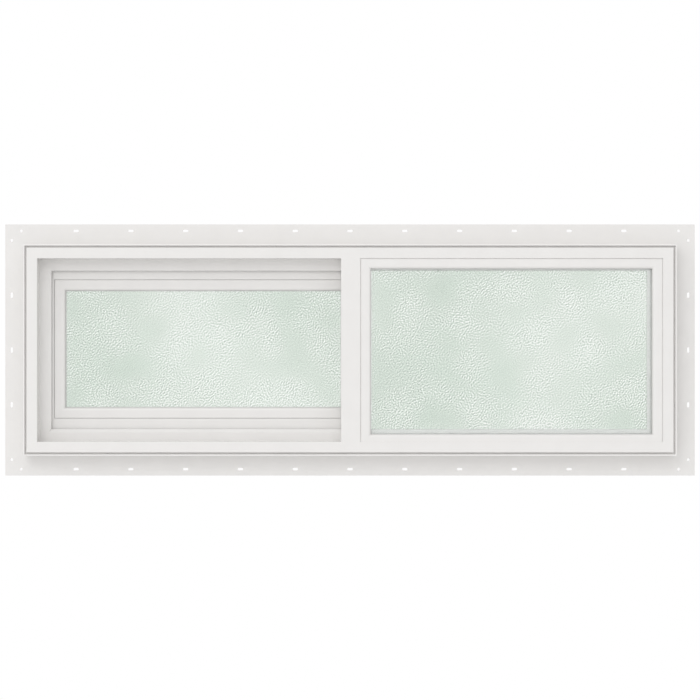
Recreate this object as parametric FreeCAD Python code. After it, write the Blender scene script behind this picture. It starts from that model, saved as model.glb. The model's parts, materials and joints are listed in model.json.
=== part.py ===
import FreeCAD
import Part
import math
import os
from collections import namedtuple

# Horizontal sliding window with a nailing flange: a fixed light on the right and
# a sliding sash on the left, as seen from outdoors.
# X runs across the window to the right, Y from outdoors to indoors and Z up.
# The origin is on the back of the sill's nailing flange, halfway along it.

# Outer frame, in millimetres
FRAME_WIDTH = 901.7
FRAME_HEIGHT = 292.1
FLANGE_WIDTH = 28.6
FLANGE_THICKNESS = 1.6
FLANGE_SETBACK = 34.9
RIM_WIDTH = 2.2
GROOVE_WIDTH = 2.6
GROOVE_DEPTH = 5.0
FACE_WIDTH = 14.6
STOP_WIDTH = 16.6
STOP_THICKNESS = 7.0
CHANNEL_FLOOR = 13.0
INDOOR_LEG_WIDTH = 20.0
INDOOR_LEG_THICKNESS = 6.6
SILL_BEVEL_RISE = 4.2
SILL_BEVEL_RUN = 2.5

# Nail slots, centred on the window and on one line round the flange
SLOT_PITCH = 76.2
SLOT_LENGTH = 7.6
SLOT_WIDTH = 3.4
SLOT_FROM_EDGE = 9.0
END_HOLE_RADIUS = 1.9

# Sealed glass units
PANE_THICKNESS = 3.0
SPACER_DEPTH = 8.0
SPACER_WIDTH = 7.0
SPACER_INSET = 4.5

# Meeting post and fixed light
POST_LEFT = -12.3
POST_WIDTH = 26.6
POST_STOP_WIDTH = 15.0
POST_PLATE_THICKNESS = 3.0
FIXED_BEAD_WIDTH = 14.5
FIXED_BEAD_BOTTOM_WIDTH = 10.4
FIXED_BEAD_RECESS = 0.8
FIXED_BEAD_SEAM = 0.8
FIXED_BEAD_SEAM_DEPTH = 1.0
FIXED_BEAD_DEPTH = 11.8
FIXED_GLASS_GAP_LEFT = 1.8
FIXED_GLASS_GAP_RIGHT = 8.9
FIXED_GLASS_GAP_TOP = 1.7
FIXED_GLASS_GAP_BOTTOM = 3.2

# Sliding sash
SASH_THICKNESS = 26.0
SASH_RAIL_WIDTH = 23.0
SASH_BEAD_WIDTH = 15.2
SASH_BEAD_RECESS = 0.8
SASH_BEAD_SEAM = 0.4
SASH_BEAD_SEAM_DEPTH = 3.5
SASH_BEAD_DEPTH = 7.0
SASH_GLASS_GAP = 3.0
SASH_BACK_LEG_WIDTH = 14.0
SASH_LEFT_CLEARANCE = 3.3
SASH_TOP_CLEARANCE = 12.0
SASH_BOTTOM_CLEARANCE = 14.8
SASH_OVERLAP = 11.7
SASH_FRONT_CLEARANCE = 2.0
SASH_BACK_CLEARANCE = 3.0
ROLLER_GROOVE_WIDTH = 12.0
ROLLER_GROOVE_DEPTH = 13.0

# Interlock of the meeting post and the meeting stile
HOOK_THICKNESS = 1.4
HOOK_GAP = 0.8
POST_HOOK_LENGTH = 8.0
SASH_HOOK_LENGTH = 12.0
SASH_HOOK_FROM_EDGE = 21.0
HOOK_END_CLEARANCE = 2.0

# Finger pull on the lock stile
PULL_FROM_EDGE = 35.0
PULL_THICKNESS = 2.0
PULL_STANDOFF = 8.5
PULL_LIP = 7.0

# Seals, tapes and weatherstrip
SEAL_THICKNESS = 0.5
FIXED_SEAL_LIP = 0.3
FIXED_SEAL_WIDTH = 3.5
SASH_SEAL_LIP = 0.8
SASH_SEAL_WIDTH = 7.0
TAPE_WIDTH = 8.0
TAPE_THICKNESS = 1.3
TAPE_SETBACK = 1.0
PILE_WIDTH = 4.5
PILE_FROM_EDGE = 1.5
PILE_FROM_CORNER = 1.0
RUNNING_GAP = 0.3

# Track, rollers and latch
TRACK_BASE_WIDTH = 20.0
TRACK_BASE_THICKNESS = 1.5
TRACK_RAIL_WIDTH = 3.0
TRACK_RAIL_HEIGHT = 6.0
WHEEL_TREAD_RADIUS = 7.4
WHEEL_FLANGE_RADIUS = 9.0
WHEEL_WIDTH = 6.0
WHEEL_SIDE_GAP = 0.4
AXLE_RADIUS = 1.5
AXLE_GAP = 0.2
ROLLER_LENGTH = 44.0
ROLLER_WELL_LENGTH = 21.0
ROLLER_FROM_END = 60.0
LATCH_LENGTH = 64.0
LATCH_WIDTH = 20.0
LATCH_HEIGHT = 5.5
LATCH_CORNER = 5.0
LATCH_CHAMFER = 2.0
LEVER_LENGTH = 38.0
LEVER_PIVOT_RADIUS = 6.0
LEVER_TIP_RADIUS = 4.5
LEVER_PIVOT_HALF_WIDTH = 7.5
LEVER_TIP_HALF_WIDTH = 5.0
LEVER_THICKNESS = 3.4
LEVER_CHAMFER = 1.1
LEVER_PIVOT_RISE = 10.0

# Edge rounding
EDGE_ROUND = 0.6
BEAD_ROUND = 0.6
BEAD_GLASS_ROUND = 4.0
STOP_ROUND = 1.4
TOUCHING = 1e-6
CUT_MARGIN = 1.0

# Planes from outdoors to indoors
FACE_Y = -FLANGE_SETBACK
UNIT_THICKNESS = 2 * PANE_THICKNESS + SPACER_DEPTH
FIXED_BEAD_Y = FACE_Y + FIXED_BEAD_RECESS
FIXED_SEAL_Y = FIXED_BEAD_Y + FIXED_BEAD_DEPTH
FIXED_GLASS_Y = FIXED_SEAL_Y + SEAL_THICKNESS
STOP_Y = FIXED_GLASS_Y + UNIT_THICKNESS + TAPE_THICKNESS
CHANNEL_Y = STOP_Y + STOP_THICKNESS
SASH_Y = CHANNEL_Y + SASH_FRONT_CLEARANCE
SASH_BEAD_Y = SASH_Y + SASH_BEAD_RECESS
SASH_SEAL_Y = SASH_BEAD_Y + SASH_BEAD_DEPTH
SASH_GLASS_Y = SASH_SEAL_Y + SEAL_THICKNESS
SASH_TAPE_Y = SASH_GLASS_Y + UNIT_THICKNESS
SASH_LEG_Y = SASH_TAPE_Y + TAPE_THICKNESS
SASH_BACK_Y = SASH_Y + SASH_THICKNESS
SASH_MIDDLE_Y = SASH_Y + SASH_THICKNESS / 2
INDOOR_LEG_Y = SASH_BACK_Y + SASH_BACK_CLEARANCE
INDOOR_Y = INDOOR_LEG_Y + INDOOR_LEG_THICKNESS

# Distances inward from the frame's outer edge
FACE_START = RIM_WIDTH + GROOVE_WIDTH
FACE_EDGE = FACE_START + FACE_WIDTH
STOP_EDGE = FACE_EDGE + STOP_WIDTH
INDOOR_LEG_EDGE = CHANNEL_FLOOR + INDOOR_LEG_WIDTH

# A ring is a rectangle in the window's plane. Its bars are drawn in (u, y), where
# u runs inward from the ring's edge.
Ring = namedtuple("Ring", "left right bottom top")
ENDS = {
    "top": (("left", "top"), ("right", "top")),
    "bottom": (("left", "bottom"), ("right", "bottom")),
    "left": (("left", "bottom"), ("left", "top")),
    "right": (("right", "bottom"), ("right", "top")),
}


def inset(ring, left, right=None, bottom=None, top=None):
    """The ring moved inward, by one distance or by one for each side."""
    right = left if right is None else right
    bottom = left if bottom is None else bottom
    top = left if top is None else top
    return Ring(ring.left + left, ring.right - right, ring.bottom + bottom, ring.top - top)


FRAME = Ring(
    -FRAME_WIDTH / 2,
    FRAME_WIDTH / 2,
    FLANGE_WIDTH / 2,
    FLANGE_WIDTH / 2 + FRAME_HEIGHT,
)
CENTRE_Z = (FRAME.bottom + FRAME.top) / 2
POST_RIGHT = POST_LEFT + POST_WIDTH
FIXED_POCKET = inset(FRAME, FACE_EDGE)._replace(left=POST_RIGHT)
FIXED_LIGHT = inset(
    FIXED_POCKET,
    FIXED_BEAD_WIDTH,
    FIXED_BEAD_WIDTH,
    FIXED_BEAD_BOTTOM_WIDTH,
    FIXED_BEAD_WIDTH,
)
FIXED_UNIT = inset(
    FIXED_POCKET,
    FIXED_GLASS_GAP_LEFT,
    FIXED_GLASS_GAP_RIGHT,
    FIXED_GLASS_GAP_BOTTOM,
    FIXED_GLASS_GAP_TOP,
)
CHANNEL = inset(FRAME, CHANNEL_FLOOR)
SASH = Ring(
    CHANNEL.left + SASH_LEFT_CLEARANCE,
    POST_RIGHT + SASH_OVERLAP,
    CHANNEL.bottom + SASH_BOTTOM_CLEARANCE,
    CHANNEL.top - SASH_TOP_CLEARANCE,
)
SASH_POCKET = inset(SASH, SASH_RAIL_WIDTH)
SASH_LIGHT = inset(SASH_POCKET, SASH_BEAD_WIDTH)
SASH_UNIT = inset(SASH_POCKET, SASH_GLASS_GAP)


def rounded_wire(corners, to_world):
    """A closed wire through (a, b) corners; a third value rounds its corner."""
    points = [FreeCAD.Vector(c[0], c[1], 0) for c in corners]
    radii = [c[2] if len(c) > 2 else 0.0 for c in corners]
    turns = []
    for i, corner in enumerate(points):
        before = (points[i - 1] - corner).normalize()
        after = (points[(i + 1) % len(points)] - corner).normalize()
        half = before.getAngle(after) / 2
        reach = radii[i] / math.tan(half)
        sagitta = radii[i] / math.sin(half) - radii[i]
        middle = (before + after).normalize()
        turns.append((corner + before * reach, corner + middle * sagitta, corner + after * reach))
    edges = []
    for i, (start, middle, end) in enumerate(turns):
        if radii[i]:
            arc = Part.Arc(to_world(start), to_world(middle), to_world(end))
            edges.append(arc.toShape())
        following = turns[(i + 1) % len(turns)][0]
        if (following - end).Length > TOUCHING:
            edges.append(Part.LineSegment(to_world(end), to_world(following)).toShape())
    return Part.Wire(edges)


def along(side):
    """The direction in which a ring's bar runs."""
    return FreeCAD.Vector(1, 0, 0) if side in ("top", "bottom") else FreeCAD.Vector(0, 0, 1)


def span(ring, side):
    """Where a ring's bar begins and ends."""
    return (ring.left, ring.right) if side in ("top", "bottom") else (ring.bottom, ring.top)


def section_plane(ring, side, at):
    """The map from (u, y) to the cross-section of a ring's bar."""
    if side == "top":
        return lambda p: FreeCAD.Vector(at, p.y, ring.top - p.x)
    if side == "bottom":
        return lambda p: FreeCAD.Vector(at, p.y, ring.bottom + p.x)
    if side == "left":
        return lambda p: FreeCAD.Vector(ring.left + p.x, p.y, at)
    return lambda p: FreeCAD.Vector(ring.right - p.x, p.y, at)


def straight_bar(ring, side, corners, start, end):
    """A bar of a ring with square ends."""
    wire = rounded_wire(corners, section_plane(ring, side, start))
    return Part.Face(wire).extrude(along(side) * (end - start))


def mitred_bar(ring, side, corners, light=None):
    """A bar of a ring, mitred at both ends towards its light, or at 45 degrees."""
    outward = max(0.0, -min(c[0] for c in corners))
    inward = max(c[0] for c in corners)
    front = min(c[1] for c in corners) - CUT_MARGIN
    back = max(c[1] for c in corners) + CUT_MARGIN
    outer = inset(ring, -outward)
    inner = light or inset(ring, inward)
    first, last = ENDS[side]
    loop = [(outer, first), (outer, last), (inner, last), (inner, first)]
    points = [FreeCAD.Vector(getattr(r, end[0]), front, getattr(r, end[1])) for r, end in loop]
    outline = Part.makePolygon(points + points[:1])
    wedge = Part.Face(outline).extrude(FreeCAD.Vector(0, back - front, 0))
    start, end = span(outer, side)
    return straight_bar(ring, side, corners, start, end).common(wedge).Solids[0]


def upright(corners, bottom, top):
    """A bar drawn in (x, y) that stands between two heights."""
    wire = rounded_wire(corners, lambda p: FreeCAD.Vector(p.x, p.y, bottom))
    return Part.Face(wire).extrude(FreeCAD.Vector(0, 0, top - bottom))


def box(left, right, front, back, bottom, top):
    """A block between six planes."""
    corner = FreeCAD.Vector(left, front, bottom)
    return Part.makeBox(right - left, back - front, top - bottom, corner)


def plate(ring, front, back):
    """A flat sheet that fills a ring."""
    return box(ring.left, ring.right, front, back, ring.bottom, ring.top)


def band(outer, inner, front, back):
    """A flat loop between two rings."""
    opening = plate(inner, front - CUT_MARGIN, back + CUT_MARGIN)
    return plate(outer, front, back).cut(opening)


def frame_section(side):
    """The frame's extrusion, from the tip of its flange round to the indoor face."""
    stop = [(STOP_EDGE, STOP_Y, STOP_ROUND)]
    if side == "bottom":
        bevel_start = (STOP_EDGE - SILL_BEVEL_RISE, STOP_Y)
        bevel_end = (STOP_EDGE, STOP_Y + SILL_BEVEL_RUN)
        stop = [bevel_start, bevel_end]
    return [
        (-FLANGE_WIDTH, 0),
        (-FLANGE_WIDTH, -FLANGE_THICKNESS),
        (0, -FLANGE_THICKNESS),
        (0, FACE_Y, EDGE_ROUND),
        (RIM_WIDTH, FACE_Y, EDGE_ROUND),
        (RIM_WIDTH, FACE_Y + GROOVE_DEPTH),
        (FACE_START, FACE_Y + GROOVE_DEPTH),
        (FACE_START, FACE_Y, EDGE_ROUND),
        (FACE_EDGE, FACE_Y),
        (FACE_EDGE, STOP_Y),
        *stop,
        (STOP_EDGE, CHANNEL_Y),
        (CHANNEL_FLOOR, CHANNEL_Y),
        (CHANNEL_FLOOR, INDOOR_LEG_Y),
        (INDOOR_LEG_EDGE, INDOOR_LEG_Y, EDGE_ROUND),
        (INDOOR_LEG_EDGE, INDOOR_Y, EDGE_ROUND),
        (0, INDOOR_Y, EDGE_ROUND),
        (0, 0),
    ]


def nail_slots(side):
    """Cutters for one side's nail slots; the last one at each end is a round hole."""
    line = inset(FRAME, SLOT_FROM_EDGE - FLANGE_WIDTH)
    start, end = span(line, side)
    middle = (start + end) / 2
    per_half = int((end - middle - SLOT_LENGTH) / SLOT_PITCH)
    cutters = []
    for n in range(-per_half, per_half + 1):
        centre = middle + n * SLOT_PITCH
        if side in ("top", "bottom"):
            at = FreeCAD.Vector(centre, 0, getattr(line, side))
        else:
            at = FreeCAD.Vector(getattr(line, side), 0, centre)
        if abs(n) == per_half:
            half_length = half_width = END_HOLE_RADIUS
        else:
            half_length = SLOT_LENGTH / 2
            half_width = SLOT_WIDTH / 2
        cutters.append(slot_cutter(at, along(side), half_length, half_width))
    return cutters


def slot_cutter(at, direction, half_length, half_width):
    """A round-ended prism through the flange."""
    across = direction.cross(FreeCAD.Vector(0, 1, 0))
    start = at - FreeCAD.Vector(0, 2 * FLANGE_THICKNESS, 0)
    depth = FreeCAD.Vector(0, 3 * FLANGE_THICKNESS, 0)
    if half_length == half_width:
        return Part.makeCylinder(half_width, depth.Length, start, depth)
    corners = [
        (-half_length, -half_width, half_width),
        (half_length, -half_width, half_width),
        (half_length, half_width, half_width),
        (-half_length, half_width, half_width),
    ]
    wire = rounded_wire(corners, lambda p: start + direction * p.x + across * p.y)
    return Part.Face(wire).extrude(depth)


def outer_frame():
    """The four welded bars of the frame, with the nail slots in their flanges."""
    names = {
        "top": "frame_head",
        "bottom": "frame_sill",
        "left": "frame_left_jamb",
        "right": "frame_right_jamb",
    }
    bars = {}
    for side, name in names.items():
        bars[name] = mitred_bar(FRAME, side, frame_section(side)).cut(nail_slots(side))
    return bars


def meeting_post():
    """The post between the lights, with a glazing stop and a hook for the sash behind it."""
    pocket = inset(FRAME, FACE_EDGE)
    stop = inset(FRAME, STOP_EDGE)
    plate_right = POST_RIGHT + POST_STOP_WIDTH
    plate_back = STOP_Y + POST_PLATE_THICKNESS
    neck_right = POST_LEFT + HOOK_THICKNESS
    tip_right = POST_LEFT + POST_HOOK_LENGTH
    tip_back = SASH_Y - 2 * HOOK_GAP
    tip_front = tip_back - HOOK_THICKNESS
    block = [
        (POST_LEFT, STOP_Y),
        (POST_LEFT, FACE_Y, EDGE_ROUND),
        (POST_RIGHT, FACE_Y, EDGE_ROUND),
        (POST_RIGHT, STOP_Y),
    ]
    hook = [
        (POST_LEFT, STOP_Y),
        (plate_right, STOP_Y),
        (plate_right, plate_back),
        (neck_right, plate_back),
        (neck_right, tip_front),
        (tip_right, tip_front),
        (tip_right, tip_back),
        (POST_LEFT, tip_back),
    ]
    front = upright(block, pocket.bottom, pocket.top)
    back = upright(hook, stop.bottom, stop.top)
    return {"meeting_post": front.fuse(back).removeSplitter().Solids[0]}


def bead_section(width, seam, seam_depth, front, back):
    """A snap-in glazing bead, with an open seam at the frame and a round edge at the glass."""
    return [
        (0, back),
        (0, front + seam_depth),
        (seam, front + seam_depth),
        (seam, front, BEAD_ROUND),
        (width, front, BEAD_GLASS_ROUND),
        (width, back),
    ]


def fixed_beads():
    """Three beads with an open seam, and a narrower bottom bead that fits closely on the sill."""
    open_section = bead_section(
        FIXED_BEAD_WIDTH,
        FIXED_BEAD_SEAM,
        FIXED_BEAD_SEAM_DEPTH,
        FIXED_BEAD_Y,
        FIXED_SEAL_Y,
    )
    close_section = [
        (0, FIXED_SEAL_Y),
        (0, FIXED_BEAD_Y),
        (FIXED_BEAD_BOTTOM_WIDTH, FIXED_BEAD_Y, BEAD_GLASS_ROUND),
        (FIXED_BEAD_BOTTOM_WIDTH, FIXED_SEAL_Y),
    ]
    beads = {}
    for side in ENDS:
        section = close_section if side == "bottom" else open_section
        beads["fixed_bead_" + side] = mitred_bar(FIXED_POCKET, side, section, FIXED_LIGHT)
    return beads


def glass_unit(prefix, unit, front):
    """Two panes held apart by a spacer loop."""
    inner = front + PANE_THICKNESS
    outer = inner + SPACER_DEPTH
    spacer = inset(unit, SPACER_INSET)
    return {
        prefix + "_glass_outdoor": plate(unit, front, inner),
        prefix + "_glass_indoor": plate(unit, outer, outer + PANE_THICKNESS),
        prefix + "_glass_spacer": band(spacer, inset(spacer, SPACER_WIDTH), inner, outer),
    }


def fixed_light():
    """The fixed glass unit with its seal in front and its tape behind."""
    pieces = glass_unit("fixed", FIXED_UNIT, FIXED_GLASS_Y)
    lip = inset(FIXED_LIGHT, FIXED_SEAL_LIP)
    seal_edge = inset(lip, -FIXED_SEAL_WIDTH)
    pieces["fixed_glazing_seal"] = band(seal_edge, lip, FIXED_SEAL_Y, FIXED_GLASS_Y)
    stop = inset(FRAME, STOP_EDGE - SILL_BEVEL_RISE)
    stop = stop._replace(left=POST_RIGHT + POST_STOP_WIDTH)
    inner = inset(stop, -TAPE_SETBACK)
    tape_y = FIXED_GLASS_Y + UNIT_THICKNESS
    pieces["fixed_glazing_tape"] = band(inset(inner, -TAPE_WIDTH), inner, tape_y, STOP_Y)
    return pieces


def sash_section(side):
    """The sash's extrusion: outer part, glazing pocket and indoor leg."""
    leg_edge = SASH_RAIL_WIDTH + SASH_BACK_LEG_WIDTH
    groove = []
    if side == "bottom":
        back = SASH_MIDDLE_Y + ROLLER_GROOVE_WIDTH / 2
        front = SASH_MIDDLE_Y - ROLLER_GROOVE_WIDTH / 2
        groove = [(0, back), (ROLLER_GROOVE_DEPTH, back), (ROLLER_GROOVE_DEPTH, front), (0, front)]
    return [
        (0, SASH_Y, EDGE_ROUND),
        (SASH_RAIL_WIDTH, SASH_Y),
        (SASH_RAIL_WIDTH, SASH_LEG_Y),
        (leg_edge, SASH_LEG_Y),
        (leg_edge, SASH_BACK_Y, EDGE_ROUND),
        (0, SASH_BACK_Y, EDGE_ROUND),
        *groove,
    ]


def sash_frame():
    """The four welded bars of the sash, with a hook on one stile and a pull on the other."""
    names = {
        "top": "sash_top_rail",
        "bottom": "sash_bottom_rail",
        "left": "sash_lock_stile",
        "right": "sash_meeting_stile",
    }
    additions = {"left": finger_pull(), "right": sash_hook()}
    bars = {}
    for side, name in names.items():
        bar = mitred_bar(SASH, side, sash_section(side))
        if side in additions:
            bar = bar.fuse(additions[side]).removeSplitter().Solids[0]
        bars[name] = bar
    return bars


def finger_pull():
    """A lip along the lock stile's indoor face, hooked towards the jamb."""
    far = PULL_FROM_EDGE
    near = far - PULL_THICKNESS
    tip = far - PULL_LIP
    back = SASH_BACK_Y + PULL_STANDOFF
    section = [
        (far, SASH_BACK_Y),
        (far, back, EDGE_ROUND),
        (tip, back, EDGE_ROUND),
        (tip, back - PULL_THICKNESS, EDGE_ROUND),
        (near, back - PULL_THICKNESS),
        (near, SASH_BACK_Y),
    ]
    start, end = span(inset(SASH, SASH_RAIL_WIDTH + SASH_BACK_LEG_WIDTH), "left")
    return straight_bar(SASH, "left", section, start, end)


def sash_hook():
    """The meeting stile's hook, behind the glazing stop and inside the post's hook."""
    reach = inset(FRAME, STOP_EDGE + HOOK_END_CLEARANCE)
    neck_right = SASH.right - SASH_HOOK_FROM_EDGE
    neck_left = neck_right - HOOK_THICKNESS
    tip_left = neck_right - SASH_HOOK_LENGTH
    tip_front = STOP_Y + POST_PLATE_THICKNESS + HOOK_GAP
    tip_back = tip_front + HOOK_THICKNESS
    section = [
        (neck_right, SASH_Y),
        (neck_left, SASH_Y),
        (neck_left, tip_back),
        (tip_left, tip_back),
        (tip_left, tip_front),
        (neck_right, tip_front),
    ]
    return upright(section, reach.bottom, reach.top)


def sash_beads():
    """Four mitred beads in front of the sash's glass."""
    section = bead_section(
        SASH_BEAD_WIDTH,
        SASH_BEAD_SEAM,
        SASH_BEAD_SEAM_DEPTH,
        SASH_BEAD_Y,
        SASH_SEAL_Y,
    )
    beads = {}
    for side in ENDS:
        beads["sash_bead_" + side] = mitred_bar(SASH_POCKET, side, section)
    return beads


def sash_light():
    """The sash's glass unit with its seal in front and its tape behind."""
    pieces = glass_unit("sash", SASH_UNIT, SASH_GLASS_Y)
    lip = inset(SASH_LIGHT, SASH_SEAL_LIP)
    seal_edge = inset(lip, -SASH_SEAL_WIDTH)
    pieces["sash_glazing_seal"] = band(seal_edge, lip, SASH_SEAL_Y, SASH_GLASS_Y)
    inner = inset(SASH_POCKET, SASH_BACK_LEG_WIDTH - TAPE_SETBACK)
    pieces["sash_glazing_tape"] = band(inset(inner, -TAPE_WIDTH), inner, SASH_TAPE_Y, SASH_LEG_Y)
    return pieces


def sash_pile():
    """Weatherstrip in front of and behind the rails and the lock stile."""
    near = PILE_FROM_EDGE
    far = near + PILE_WIDTH
    faces = ((CHANNEL_Y + RUNNING_GAP, SASH_Y), (SASH_BACK_Y, INDOOR_LEG_Y - RUNNING_GAP))
    names = {"top": "pile_top", "bottom": "pile_bottom", "left": "pile_lock_stile"}
    strips = {}
    for side, name in names.items():
        start, end = span(inset(SASH, far + PILE_FROM_CORNER), side)
        pair = []
        for front, back in faces:
            section = [(near, front), (far, front), (far, back), (near, back)]
            pair.append(straight_bar(SASH, side, section, start, end))
        strips[name] = Part.makeCompound(pair)
    return strips


def roller_track():
    """A rail with a flat base, laid in the sill's channel from jamb to jamb."""
    floor = CHANNEL.bottom
    base_top = floor + TRACK_BASE_THICKNESS
    half_base = TRACK_BASE_WIDTH / 2
    half_rail = TRACK_RAIL_WIDTH / 2
    section = [
        (-half_base, floor),
        (half_base, floor),
        (half_base, base_top),
        (half_rail, base_top),
        (half_rail, floor + TRACK_RAIL_HEIGHT, EDGE_ROUND),
        (-half_rail, floor + TRACK_RAIL_HEIGHT, EDGE_ROUND),
        (-half_rail, base_top),
        (-half_base, base_top),
    ]
    wire = rounded_wire(section, lambda p: FreeCAD.Vector(CHANNEL.left, SASH_MIDDLE_Y + p.x, p.y))
    length = FreeCAD.Vector(CHANNEL.right - CHANNEL.left, 0, 0)
    return {"sill_roller_track": Part.Face(wire).extrude(length)}


def roller(middle_x):
    """A housing let into the bottom rail and a flanged wheel on its axle."""
    wheel_z = CHANNEL.bottom + TRACK_RAIL_HEIGHT + RUNNING_GAP + WHEEL_TREAD_RADIUS
    half_width = ROLLER_GROOVE_WIDTH / 2
    half_wheel = WHEEL_WIDTH / 2
    half_well = half_wheel + WHEEL_SIDE_GAP
    housing = box(
        middle_x - ROLLER_LENGTH / 2,
        middle_x + ROLLER_LENGTH / 2,
        SASH_MIDDLE_Y - half_width,
        SASH_MIDDLE_Y + half_width,
        SASH.bottom,
        SASH.bottom + ROLLER_GROOVE_DEPTH,
    )
    well = box(
        middle_x - ROLLER_WELL_LENGTH / 2,
        middle_x + ROLLER_WELL_LENGTH / 2,
        SASH_MIDDLE_Y - half_well,
        SASH_MIDDLE_Y + half_well,
        SASH.bottom - CUT_MARGIN,
        wheel_z + WHEEL_FLANGE_RADIUS + WHEEL_SIDE_GAP,
    )
    across = FreeCAD.Vector(0, 1, 0)
    axle_start = FreeCAD.Vector(middle_x, SASH_MIDDLE_Y - half_width, wheel_z)
    axle = Part.makeCylinder(AXLE_RADIUS, ROLLER_GROOVE_WIDTH, axle_start, across)
    tread_half = TRACK_RAIL_WIDTH / 2 + WHEEL_SIDE_GAP
    bore = AXLE_RADIUS + AXLE_GAP
    outline = [
        (-half_wheel, bore),
        (half_wheel, bore),
        (half_wheel, WHEEL_FLANGE_RADIUS),
        (tread_half, WHEEL_FLANGE_RADIUS),
        (tread_half, WHEEL_TREAD_RADIUS),
        (-tread_half, WHEEL_TREAD_RADIUS),
        (-tread_half, WHEEL_FLANGE_RADIUS),
        (-half_wheel, WHEEL_FLANGE_RADIUS),
    ]
    wire = rounded_wire(outline, lambda p: FreeCAD.Vector(middle_x, SASH_MIDDLE_Y + p.x, wheel_z + p.y))
    hub = FreeCAD.Vector(middle_x, SASH_MIDDLE_Y, wheel_z)
    wheel = Part.Face(wire).revolve(hub, across, 360)
    return Part.makeCompound([housing.cut(well).fuse(axle).Solids[0], wheel])


def rollers():
    """One roller near each end of the bottom rail."""
    return {
        "sash_roller_left": roller(SASH.left + ROLLER_FROM_END),
        "sash_roller_right": roller(SASH.right - ROLLER_FROM_END),
    }


def chamfered_plate(outline, to_world, thickness, chamfer):
    """A plate with a chamfer round its indoor face."""
    block = Part.Face(rounded_wire(outline, to_world)).extrude(FreeCAD.Vector(0, thickness, 0))
    back = block.BoundBox.YMax
    rim = [edge for edge in block.Edges if edge.BoundBox.YMin > back - TOUCHING]
    return block.makeChamfer(chamfer, rim)


def latch():
    """A rounded body on the meeting stile, with a tapered lever that hangs from it."""
    middle_x = SASH.right - (SASH_RAIL_WIDTH + SASH_BACK_LEG_WIDTH) / 2
    lever_y = SASH_BACK_Y + LATCH_HEIGHT
    pivot_z = CENTRE_Z + LEVER_PIVOT_RISE
    half_width = LATCH_WIDTH / 2
    half_length = LATCH_LENGTH / 2
    body_outline = [
        (-half_width, -half_length, LATCH_CORNER),
        (half_width, -half_length, LATCH_CORNER),
        (half_width, half_length, LATCH_CORNER),
        (-half_width, half_length, LATCH_CORNER),
    ]
    lever_outline = [
        (-LEVER_PIVOT_HALF_WIDTH, LEVER_PIVOT_HALF_WIDTH, LEVER_PIVOT_RADIUS),
        (LEVER_PIVOT_HALF_WIDTH, LEVER_PIVOT_HALF_WIDTH, LEVER_PIVOT_RADIUS),
        (LEVER_TIP_HALF_WIDTH, -LEVER_LENGTH, LEVER_TIP_RADIUS),
        (-LEVER_TIP_HALF_WIDTH, -LEVER_LENGTH, LEVER_TIP_RADIUS),
    ]
    return {
        "latch_body": chamfered_plate(
            body_outline,
            lambda p: FreeCAD.Vector(middle_x + p.x, SASH_BACK_Y, CENTRE_Z + p.y),
            LATCH_HEIGHT,
            LATCH_CHAMFER,
        ),
        "latch_lever": chamfered_plate(
            lever_outline,
            lambda p: FreeCAD.Vector(middle_x + p.x, lever_y, pivot_z + p.y),
            LEVER_THICKNESS,
            LEVER_CHAMFER,
        ),
    }


def main():
    """Build every piece and write each one to its own file."""
    pieces = {}
    builders = (
        outer_frame,
        meeting_post,
        fixed_beads,
        fixed_light,
        sash_frame,
        sash_beads,
        sash_light,
        sash_pile,
        roller_track,
        rollers,
        latch,
    )
    for builder in builders:
        pieces.update(builder())
    os.makedirs("parts", exist_ok=True)
    for name, shape in pieces.items():
        shape.exportStep(os.path.join("parts", name + ".step"))


main()
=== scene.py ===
import json
import math

import bpy
import numpy as np
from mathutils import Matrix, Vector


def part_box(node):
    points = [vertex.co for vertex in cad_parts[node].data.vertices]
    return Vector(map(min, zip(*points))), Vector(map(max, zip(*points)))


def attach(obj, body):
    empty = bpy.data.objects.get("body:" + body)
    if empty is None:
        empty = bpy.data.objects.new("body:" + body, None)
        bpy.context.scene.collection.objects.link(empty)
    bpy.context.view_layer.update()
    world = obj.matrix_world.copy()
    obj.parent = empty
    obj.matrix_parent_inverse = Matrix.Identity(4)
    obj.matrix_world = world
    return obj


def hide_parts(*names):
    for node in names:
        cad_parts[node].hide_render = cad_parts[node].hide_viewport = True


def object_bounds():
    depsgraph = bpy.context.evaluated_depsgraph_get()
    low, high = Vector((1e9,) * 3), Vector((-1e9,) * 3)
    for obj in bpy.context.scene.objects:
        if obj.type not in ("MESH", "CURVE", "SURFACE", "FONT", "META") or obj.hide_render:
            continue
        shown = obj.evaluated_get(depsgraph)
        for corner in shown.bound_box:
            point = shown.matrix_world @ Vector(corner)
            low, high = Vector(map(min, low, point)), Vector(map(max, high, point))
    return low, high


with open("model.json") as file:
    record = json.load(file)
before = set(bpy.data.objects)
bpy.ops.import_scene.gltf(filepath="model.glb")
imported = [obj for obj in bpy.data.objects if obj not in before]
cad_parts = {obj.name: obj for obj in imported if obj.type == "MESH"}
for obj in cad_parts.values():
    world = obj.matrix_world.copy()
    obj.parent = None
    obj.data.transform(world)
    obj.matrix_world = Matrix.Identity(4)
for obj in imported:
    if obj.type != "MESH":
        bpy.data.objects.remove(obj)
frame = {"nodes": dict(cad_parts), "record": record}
cad_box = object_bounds()
nodes = frame["nodes"]

# Lengths are in metres
MM = 0.001
WHITE = (1, 1, 1, 1)

# The outdoor face, and the middle of the part's height
FACE_Y = cad_box[0][1]
CENTRE_Z = (cad_box[0][2] + cad_box[1][2]) / 2

# Camera, straight on to the outdoor face; its lens and sensor are in millimetres
CAMERA_DISTANCE = 3.72
CAMERA_LENS = 138.8
SENSOR_WIDTH = 36.0

# Light from all round, which grows along its tilt, and a key lamp
AMBIENT = 0.71
AMBIENT_TILT = (-0.3, -0.3, 0.5)
KEY_POSITION = (-1.3, -4.6, 2.4)
KEY_SIZE = 2.2
KEY_POWER = 24.0
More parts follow.
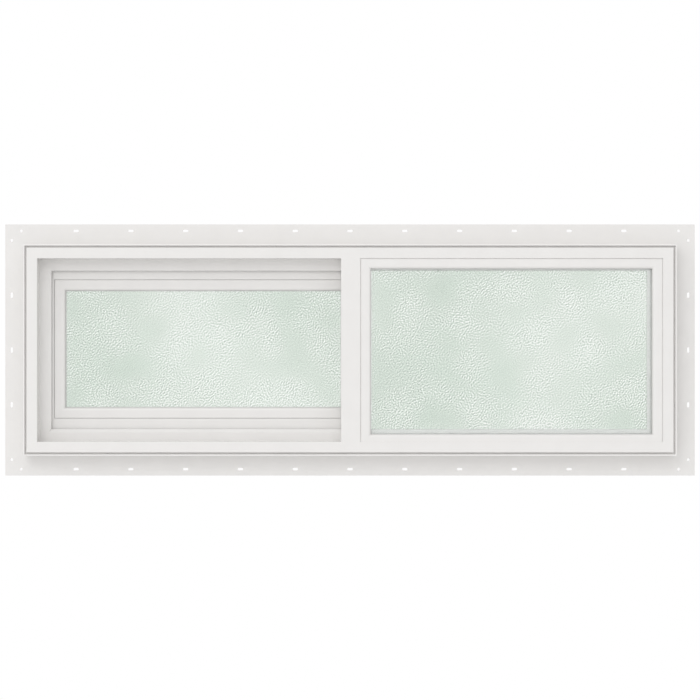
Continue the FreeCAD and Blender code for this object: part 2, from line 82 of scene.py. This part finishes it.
# Rays by which the eye sees a surface: straight, mirrored or through glass
SEEN_RAYS = ("Is Camera Ray", "Is Glossy Ray", "Is Transmission Ray")

# Floor: it fades to white between two distances from its middle, and starts at a share of white
FLOOR_Z = -0.75
FLOOR_RADIUS = 4.0
FLOOR_SIDES = 96
FLOOR_COLOUR = (0.9, 0.9, 0.9, 1)
FLOOR_ROUGHNESS = 0.9
FLOOR_FADE_START = 0.9
FLOOR_FADE_END = 1.8
FLOOR_LIFT = 0.4

# The values of a noise that get the two ends of a colour range
NOISE_SPAN = (0.3, 0.7)

# Pattern of the glass: a grid of points, with waves of about one length
PATTERN_STEP = 1.03 * MM
PATTERN_WAVELENGTH = 3.3 * MM
PATTERN_SPREAD = 0.42
# Height of one unit of the pattern, and the most units it rises or falls
PATTERN_DEPTH = 0.08 * MM
PATTERN_LIMIT = 2.4
# Directions across the strokes in degrees, and how common each one is
STROKE_DIRECTIONS = ((135, 1.0), (45, 0.5), (90, 0.45))
# How closely the strokes keep to their direction
STROKE_FOCUS = 0.9
# Areas where one direction takes over from another
DRIFT_WAVELENGTH = 38 * MM
DRIFT_SPREAD = 0.8
DRIFT_STRENGTH = 0.9
# Smoother and rougher patches: the strokes' mean strength, its change and its range
PATCH_WAVELENGTH = 90 * MM
PATCH_SPREAD = 0.8
STROKE_MEAN = 1.05
STROKE_CHANGE = 0.5
STROKE_RANGE = (0.25, 1.6)
FIXED_SEED = 11
SASH_SEED = 23

# Shade of the glass, from 0 for dark to 1 for white, and what adds to it; the strokes, pale spots
# and edges add painted light and shade
BASE_SHADE = 0.4
# Painted highlights on the ridges of the strokes and painted shade in their hollows
STROKE_PAINTED_LIGHT = 0.25
PATCH_SHADE = 0.03
# Painted light: pale spots that stand in for brighter surroundings seen through the glass
CLOUD_PAINTED_LIGHT = 0.24
# The glass is painted paler towards its edges: painted light against the shade that the beads
# cast there
EDGE_PAINTED_LIGHT = 0.1
EDGE_REACH = 9 * MM
# Painted light in each pane, as pale soft spots: share of its width and height, radius, strength
SASH_PAINTED_LIGHT_CLOUDS = (
    (0.48, 0.5, 0.16, 1.0),
    (0.78, 0.1, 0.15, 0.8),
    (0.42, 0.98, 0.1, 0.5),
)
FIXED_PAINTED_LIGHT_CLOUDS = (
    (0.66, 0.55, 0.2, 0.9),
    (0.0, 0.8, 0.1, 0.45),
    (0.98, 0.85, 0.12, 0.7),
    (0.6, 0.0, 0.1, 0.6),
)
# Glass colours along the shade; the dark and white ends carry painted shade and painted
# highlights, and white is also the clear margin
SHADE_COLOURS = (
    (0.0, (0.32, 0.395, 0.33)),
    (0.4, (0.535, 0.63, 0.545)),
    (0.62, (0.68, 0.75, 0.68)),
    (1.0, (0.98, 0.99, 0.98)),
)
GLASS_TRANSMISSION = 0.8
GLASS_IOR = 1.5

# Room left at each face where a pane and its spacer would touch
UNIT_GAP = 0.1 * MM

# Spacer, and the reach of its lip on the left, right, bottom and top
SPACER_INSET = 4.5 * MM
SPACER_WIDTH = 7.0 * MM
FIXED_LIP = (1.9 * MM, 0.7 * MM, 2.4 * MM, 3.9 * MM)
SASH_LIP = (0.9 * MM,) * 4
LIP_DEPTH = 1.2 * MM


def add_node(tree, kind, **values):
    """Add a node, and set its sockets or else its settings by name."""
    made = tree.nodes.new(kind)
    for key, value in values.items():
        socket = made.inputs.get(key.replace("_", " "))
        if socket is None:
            setattr(made, key, value)
        else:
            socket.default_value = value
    return made


def mix_shaders(tree, share, first, second):
    """The first shader, which turns into the second as the share goes to 1."""
    mix = add_node(tree, "ShaderNodeMixShader")
    tree.links.new(share, mix.inputs["Fac"])
    tree.links.new(first, mix.inputs[1])
    tree.links.new(second, mix.inputs[2])
    return mix.outputs[0]


def seen_share(tree):
    """1 for rays of any of the seen kinds, else 0."""
    path = add_node(tree, "ShaderNodeLightPath")
    total = path.outputs[SEEN_RAYS[0]]
    for kind in SEEN_RAYS[1:]:
        largest = add_node(tree, "ShaderNodeMath", operation="MAXIMUM")
        tree.links.new(total, largest.inputs[0])
        tree.links.new(path.outputs[kind], largest.inputs[1])
        total = largest.outputs[0]
    return total


class Shader:
    """A material's node tree, with short calls for what its surface does."""

    def __init__(self, name):
        self.material = bpy.data.materials.new(name)
        self.material.use_nodes = True
        self.tree = self.material.node_tree
        self.bsdf = self.tree.nodes["Principled BSDF"]

    def node(self, kind, **values):
        """Add a node to the tree."""
        return add_node(self.tree, kind, **values)

    def link(self, source, target):
        """Join an output to an input."""
        self.tree.links.new(source, target)

    def drive(self, socket, source):
        """Let an output drive one of the surface's sockets."""
        self.link(source, self.bsdf.inputs[socket])

    def set(self, **sockets):
        """Set constants on the surface's sockets."""
        for name, value in sockets.items():
            self.bsdf.inputs[name.replace("_", " ")].default_value = value

    def attribute(self, name):
        """A value that the mesh holds for each point."""
        return self.node("ShaderNodeAttribute", attribute_name=name).outputs["Fac"]

    def noise(self, scale, detail=2.0, stretch=None):
        """Noise over the part; stretch scales its three axes."""
        texture = self.node("ShaderNodeTexNoise", Scale=scale, Detail=detail)
        source = self.node("ShaderNodeTexCoord").outputs["Object"]
        if stretch:
            mapping = self.node("ShaderNodeMapping", Scale=stretch)
            self.link(source, mapping.inputs["Vector"])
            source = mapping.outputs["Vector"]
        self.link(source, texture.inputs["Vector"])
        return texture.outputs["Fac"]

    def ramp(self, source, stops):
        """A colour for each value, from stops of a position and a colour."""
        ramp = self.node("ShaderNodeValToRGB")
        elements = ramp.color_ramp.elements
        for element, (position, colour) in zip(elements, (stops[0], stops[-1])):
            element.position = position
            element.color = (*colour, 1)
        for position, colour in stops[1:-1]:
            elements.new(position).color = (*colour, 1)
        self.link(source, ramp.inputs["Fac"])
        return ramp.outputs["Color"]

    def span(self, source, low, high):
        """Spread a value from 0 to 1 over a range."""
        span = self.node("ShaderNodeMapRange", To_Min=low, To_Max=high)
        self.link(source, span.inputs["Value"])
        return span.outputs["Result"]

    def colour(self, low, high, **noise):
        """Let the colour wander between two colours."""
        stops = tuple(zip(NOISE_SPAN, (low, high)))
        self.drive("Base Color", self.ramp(self.noise(**noise), stops))

    def roughness(self, low, high, **noise):
        """Let the roughness wander between two values."""
        self.drive("Roughness", self.span(self.noise(**noise), low, high))

    def bump(self, distance, strength, **noise):
        """Make the surface seem uneven by a height."""
        bump = self.node("ShaderNodeBump", Distance=distance, Strength=strength)
        self.link(self.noise(**noise), bump.inputs["Height"])
        self.drive("Normal", bump.outputs["Normal"])


def vinyl():
    """Smooth white vinyl with a satin finish."""
    s = Shader("white_vinyl")
    s.colour((0.81, 0.796, 0.781), (0.828, 0.814, 0.799), scale=35.0, detail=3.0)
    s.roughness(0.25, 0.28, scale=160.0)
    s.bump(distance=0.04 * MM, strength=0.03, scale=700.0, detail=3.0)
    return s.material


def rubber(name, low, high):
    """Matte rubber or plastic between two colours."""
    s = Shader(name)
    s.colour(low, high, scale=90.0)
    s.roughness(0.6, 0.8, scale=240.0)
    return s.material


def mill_metal(name, low, high):
    """Bare metal with fine lines along its length."""
    s = Shader(name)
    s.colour(low, high, scale=60.0, detail=3.0, stretch=(1.0, 30.0, 30.0))
    s.roughness(0.28, 0.45, scale=300.0, stretch=(0.2, 3.0, 3.0))
    s.set(Metallic=1.0)
    return s.material


def pile():
    """Grey woven fuzz."""
    s = Shader("pile")
    s.colour((0.36, 0.36, 0.35), (0.56, 0.56, 0.55), scale=1500.0, detail=4.0)
    s.bump(distance=0.4 * MM, strength=1.0, scale=1800.0)
    s.set(Roughness=0.95)
    return s.material


def clear_glass():
    """Smooth glass with a trace of green."""
    s = Shader("clear_glass")
    s.colour((0.95, 0.98, 0.96), (0.98, 0.99, 0.98), scale=12.0)
    s.set(Roughness=0.03, IOR=GLASS_IOR, Transmission_Weight=1.0)
    return s.material


def patterned_glass():
    """Pale green glass with painted highlights on the ridges of its pattern, painted shade in its
    hollows, painted pale spots of light and a painted paler edge; clear at its margin.
    """
    s = Shader("patterned_glass")
    s.drive("Base Color", s.ramp(s.attribute("shade"), SHADE_COLOURS))
    s.roughness(0.1, 0.2, scale=500.0)
    s.drive("Transmission Weight", s.span(s.attribute("clear"), GLASS_TRANSMISSION, 1.0))
    s.set(IOR=GLASS_IOR)
    return s.material


def floor_fade(tree):
    """How much of the floor gives way to white, for seen rays alone."""
    coordinates = add_node(tree, "ShaderNodeTexCoord")
    distance = add_node(tree, "ShaderNodeVectorMath", operation="LENGTH")
    fade = add_node(
        tree,
        "ShaderNodeMapRange",
        From_Min=FLOOR_FADE_START,
        From_Max=FLOOR_FADE_END,
        To_Min=FLOOR_LIFT,
    )
    gate = add_node(tree, "ShaderNodeMath", operation="MULTIPLY")
    tree.links.new(coordinates.outputs["Object"], distance.inputs[0])
    tree.links.new(distance.outputs["Value"], fade.inputs["Value"])
    tree.links.new(fade.outputs["Result"], gate.inputs[0])
    tree.links.new(seen_share(tree), gate.inputs[1])
    return gate.outputs[0]


def floor_material():
    """Pale floor that fades to white, and can't be seen from below."""
    s = Shader("floor")
    s.set(Base_Color=FLOOR_COLOUR, Roughness=FLOOR_ROUGHNESS)
    white = s.node("ShaderNodeEmission", Color=WHITE)
    clear = s.node("ShaderNodeBsdfTransparent", Color=WHITE)
    below = s.node("ShaderNodeNewGeometry").outputs["Backfacing"]
    above = mix_shaders(s.tree, floor_fade(s.tree), s.bsdf.outputs[0], white.outputs[0])
    surface = mix_shaders(s.tree, below, above, clear.outputs[0])
    s.link(surface, s.tree.nodes["Material Output"].inputs["Surface"])
    return s.material


MATERIALS = {
    "white_vinyl": vinyl(),
    "patterned_glass": patterned_glass(),
    "clear_glass": clear_glass(),
    "spacer": mill_metal("spacer", (0.84, 0.85, 0.84), (0.94, 0.95, 0.94)),
    "glazing_seal": rubber("glazing_seal", (0.58, 0.58, 0.57), (0.68, 0.68, 0.67)),
    "glazing_tape": rubber("glazing_tape", (0.50, 0.50, 0.49), (0.60, 0.60, 0.59)),
    "pile": pile(),
    "track": mill_metal("track", (0.66, 0.66, 0.66), (0.78, 0.78, 0.78)),
    "roller": rubber("roller", (0.22, 0.22, 0.22), (0.32, 0.32, 0.32)),
}
MATERIALS["latch"] = MATERIALS["white_vinyl"]


def dress_nodes():
    """Give every solid the material of its slot; the panes among them are clear."""
    for part in frame["record"]["subparts"]:
        slot = part["material_slot"]
        if slot == "patterned_glass":
            slot = "clear_glass"
        mesh = nodes[part["node"]].data
        mesh.materials.clear()
        mesh.materials.append(MATERIALS[slot])


def place(mesh, slot, node):
    """Put a new piece in the scene, in place of a node."""
    piece = bpy.data.objects.new(mesh.name, mesh)
    bpy.context.scene.collection.objects.link(piece)
    mesh.materials.append(MATERIALS[slot])
    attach(piece, "root")
    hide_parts(node)


def band_noise(rng, shape, wavelength, spread, direction=None):
    """Random waves near one length, in one direction if given, with a deviation of 1."""
    fz = np.fft.fftfreq(shape[0], PATTERN_STEP)[:, None]
    fx = np.fft.fftfreq(shape[1], PATTERN_STEP)[None, :]
    frequency = np.hypot(fx, fz) * wavelength
    gain = np.exp(-(((frequency - 1.0) / spread) ** 2))
    if direction is not None:
        gain = gain * np.abs(np.cos(np.arctan2(fz, fx) - direction)) ** STROKE_FOCUS
    field = np.fft.ifft2(np.fft.fft2(rng.standard_normal(shape)) * gain).real
    return (field - field.mean()) / field.std()


def stroke_field(rng, shape):
    """The pattern's strokes, whose direction drifts over the pane."""
    total = np.zeros(shape)
    power = np.zeros(shape)
    for degrees, share in STROKE_DIRECTIONS:
        drift = band_noise(rng, shape, DRIFT_WAVELENGTH, DRIFT_SPREAD)
        weight = share * np.exp(DRIFT_STRENGTH * drift)
        direction = math.radians(degrees)
        strokes = band_noise(rng, shape, PATTERN_WAVELENGTH, PATTERN_SPREAD, direction)
        total += weight * strokes
        power += weight ** 2
    return total / np.sqrt(power)


def painted_light_field(xs, zs, light_clouds):
    """Soft pale spots of painted light, 0 to about 1; radii are shares of the pane's width."""
    width = xs[-1] - xs[0]
    height = zs[-1] - zs[0]
    field = np.zeros((len(zs), len(xs)))
    for x, z, radius, strength in light_clouds:
        across = (xs - xs[0] - x * width) / width
        upward = (zs - zs[0] - z * height) / width
        away = across[None, :] ** 2 + upward[:, None] ** 2
        field += strength * np.exp(-away / (2 * radius ** 2))
    return field


def pattern_depth(xs, zs, lip):
    """How far inside the smooth margin each point lies; below 0 in the margin."""
    left, right, bottom, top = (SPACER_INSET + SPACER_WIDTH + reach for reach in lip)
    across = np.minimum(xs - xs[0] - left, xs[-1] - xs - right)
    upward = np.minimum(zs - zs[0] - bottom, zs[-1] - zs - top)
    return np.minimum(across[None, :], upward[:, None])


def glass_pattern(xs, zs, light_clouds, lip, seed):
    """The pattern's height and shade at each point, and which points are in its margin."""
    rng = np.random.default_rng(seed)
    shape = (len(zs), len(xs))
    stroke = stroke_field(rng, shape)
    patch = band_noise(rng, shape, PATCH_WAVELENGTH, PATCH_SPREAD)
    strength = np.clip(STROKE_MEAN + STROKE_CHANGE * patch, *STROKE_RANGE)
    height = np.clip(stroke * strength, -PATTERN_LIMIT, PATTERN_LIMIT)
    inside = pattern_depth(xs, zs, lip)
    # Painted highlights and painted shade follow the strokes' height
    shade = BASE_SHADE + STROKE_PAINTED_LIGHT * height + PATCH_SHADE * patch
    # Painted light from the pale spots
    shade += CLOUD_PAINTED_LIGHT * painted_light_field(xs, zs, light_clouds)
    # Painted lightening near the edges, against the beads' shade
    shade += EDGE_PAINTED_LIGHT * np.exp(-np.abs(inside) / EDGE_REACH)
    margin = inside < 0
    shade[margin] = 1.0
    height[margin] = 0.0
    return height, np.clip(shade, 0, 1), margin


def grid_line(start, end):
    """Evenly spaced places from start to end, about one step apart."""
    return np.linspace(start, end, int(round((end - start) / PATTERN_STEP)) + 1)


def pane_points(xs, zs, face, height):
    """Points of the pane's outdoor face, in rows, with its rim at full height."""
    height = height.copy()
    height[[0, -1], :] = PATTERN_LIMIT
    height[:, [0, -1]] = PATTERN_LIMIT
    points = np.zeros((*height.shape, 3))
    points[:, :, 0] = xs[None, :]
    points[:, :, 1] = face + PATTERN_DEPTH * (PATTERN_LIMIT - height)
    points[:, :, 2] = zs[:, None]
    return points.reshape(-1, 3)


def pane_faces(shape):
    """The outdoor face's quads, and the indices of the points round its rim."""
    index = np.arange(shape[0] * shape[1]).reshape(shape)
    corners = (index[:-1, :-1], index[:-1, 1:], index[1:, 1:], index[1:, :-1])
    sides = (index[0, :-1], index[:-1, -1], index[-1, :0:-1], index[:0:-1, 0])
    return np.stack(corners, axis=-1).reshape(-1, 4), np.concatenate(sides)


def back_faces(rim, first):
    """Quads from the rim to its copy at the back, whose points start at first, and its cap."""
    copy = first + np.arange(len(rim))
    quads = np.stack((np.roll(rim, -1), rim, copy, np.roll(copy, -1)), axis=-1)
    return quads.tolist() + [copy[::-1].tolist()]


def store(mesh, name, values):
    """Keep a value for each point; the points at the back, which come last, get 1."""
    padded = np.ones(len(mesh.vertices))
    padded[:values.size] = values.reshape(-1)
    mesh.attributes.new(name, "FLOAT", "POINT").data.foreach_set("value", padded)


def patterned_pane(node, light_clouds, lip, seed):
    """A pane with a rolled pattern in its outdoor face, in place of a flat one."""
    low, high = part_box(node)
    xs = grid_line(low[0], high[0])
    zs = grid_line(low[2], high[2])
    height, shade, margin = glass_pattern(xs, zs, light_clouds, lip, seed)
    front = pane_points(xs, zs, low[1], height)
    quads, rim = pane_faces(height.shape)
    back = front[rim].copy()
    back[:, 1] = high[1] - UNIT_GAP
    faces = quads.tolist() + back_faces(rim, len(front))
    mesh = bpy.data.meshes.new(node + "_patterned")
    mesh.from_pydata(np.concatenate([front, back]).tolist(), [], faces)
    mesh.polygons.foreach_set("use_smooth", np.arange(len(faces)) < len(quads))
    store(mesh, "shade", shade)
    store(mesh, "clear", margin)
    mesh.update()
    place(mesh, "patterned_glass", node)


def inset(ring, reach):
    """A rectangle of left, right, bottom and top, moved in by a reach on each side."""
    left, right, bottom, top = reach
    return ring[0] + left, ring[1] - right, ring[2] + bottom, ring[3] - top


def loop_points(outer, inner, front, back):
    """Corners of a loop between two rectangles: outer and inner in front, then behind."""
    points = []
    for y in (front, back):
        for x0, x1, z0, z1 in (outer, inner):
            points += [(x0, y, z0), (x1, y, z0), (x1, y, z1), (x0, y, z1)]
    return points


def loop_faces(first):
    """The faces of a loop, whose four rectangles of four corners start at this point."""
    corners = (range(start, start + 4) for start in range(first, first + 16, 4))
    outer, inner, outer_back, inner_back = corners
    faces = []
    for i in range(4):
        j = (i + 1) % 4
        faces.append((outer[i], outer[j], inner[j], inner[i]))
        faces.append((outer_back[j], outer_back[i], inner_back[i], inner_back[j]))
        faces.append((inner[i], inner[j], inner_back[j], inner_back[i]))
        faces.append((outer[j], outer[i], outer_back[i], outer_back[j]))
    return faces


def lipped_spacer(node, lip):
    """A spacer with a lip inside it against the outdoor pane, in place of a plain loop."""
    low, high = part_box(node)
    front = low[1] + UNIT_GAP
    outer = (low[0], high[0], low[2], high[2])
    inner = inset(outer, (SPACER_WIDTH,) * 4)
    bar = loop_points(outer, inner, front, high[1] - UNIT_GAP)
    rim = loop_points(inner, inset(inner, lip), front, front + LIP_DEPTH)
    mesh = bpy.data.meshes.new(node + "_lipped")
    mesh.from_pydata(bar + rim, [], loop_faces(0) + loop_faces(len(bar)))
    mesh.update()
    place(mesh, "spacer", node)


def tilted_ambient(tree):
    """White light from all round, strongest from where its tilt points."""
    towards = add_node(tree, "ShaderNodeTexCoord")
    along = add_node(tree, "ShaderNodeVectorMath", operation="DOT_PRODUCT")
    along.inputs[1].default_value = AMBIENT_TILT
    strength = add_node(tree, "ShaderNodeMapRange", From_Min=-1.0, To_Min=0.0, To_Max=2 * AMBIENT)
    light = add_node(tree, "ShaderNodeBackground", Color=WHITE)
    tree.links.new(towards.outputs["Generated"], along.inputs[0])
    tree.links.new(along.outputs["Value"], strength.inputs["Value"])
    tree.links.new(strength.outputs["Result"], light.inputs["Strength"])
    return light.outputs[0]


def make_world():
    """White surroundings to the eye, with a softer tilted light for the surfaces."""
    world = bpy.data.worlds.new("studio")
    bpy.context.scene.world = world
    world.use_nodes = True
    tree = world.node_tree
    tree.nodes.clear()
    seen = add_node(tree, "ShaderNodeBackground", Color=WHITE)
    surface = mix_shaders(tree, seen_share(tree), tilted_ambient(tree), seen.outputs[0])
    tree.links.new(surface, add_node(tree, "ShaderNodeOutputWorld").inputs["Surface"])


def make_floor():
    """A round floor some way below the part."""
    bpy.ops.mesh.primitive_circle_add(
        vertices=FLOOR_SIDES,
        radius=FLOOR_RADIUS,
        fill_type="NGON",
        location=(0, 0, FLOOR_Z),
    )
    floor = bpy.context.object
    floor.name = "floor"
    floor.data.materials.append(floor_material())


def make_key():
    """A large soft lamp, high on the left, aimed at the middle of the outdoor face."""
    lamp = bpy.data.lights.new("key", "AREA")
    lamp.shape = "DISK"
    lamp.size = KEY_SIZE
    lamp.energy = KEY_POWER
    key = bpy.data.objects.new("key", lamp)
    key.location = KEY_POSITION
    aim = np.array([0, FACE_Y, CENTRE_Z]) - np.array(KEY_POSITION)
    key.rotation_euler = (
        math.atan2(math.hypot(aim[0], aim[1]), -aim[2]),
        0,
        math.atan2(-aim[0], aim[1]),
    )
    bpy.context.scene.collection.objects.link(key)


def make_camera():
    """A camera square on to the outdoor face."""
    data = bpy.data.cameras.new("camera")
    data.lens = CAMERA_LENS
    data.sensor_width = SENSOR_WIDTH
    camera = bpy.data.objects.new("camera", data)
    camera.location = (0, FACE_Y - CAMERA_DISTANCE, CENTRE_Z)
    camera.rotation_euler = (math.radians(90), 0, 0)
    bpy.context.scene.collection.objects.link(camera)
    bpy.context.scene.camera = camera


dress_nodes()
patterned_pane("fixed_glass_outdoor", FIXED_PAINTED_LIGHT_CLOUDS, FIXED_LIP, FIXED_SEED)
patterned_pane("sash_glass_outdoor", SASH_PAINTED_LIGHT_CLOUDS, SASH_LIP, SASH_SEED)
lipped_spacer("fixed_glass_spacer", FIXED_LIP)
lipped_spacer("sash_glass_spacer", SASH_LIP)
make_world()
make_floor()
make_key()
make_camera()
bpy.context.scene.view_settings.view_transform = "Standard"
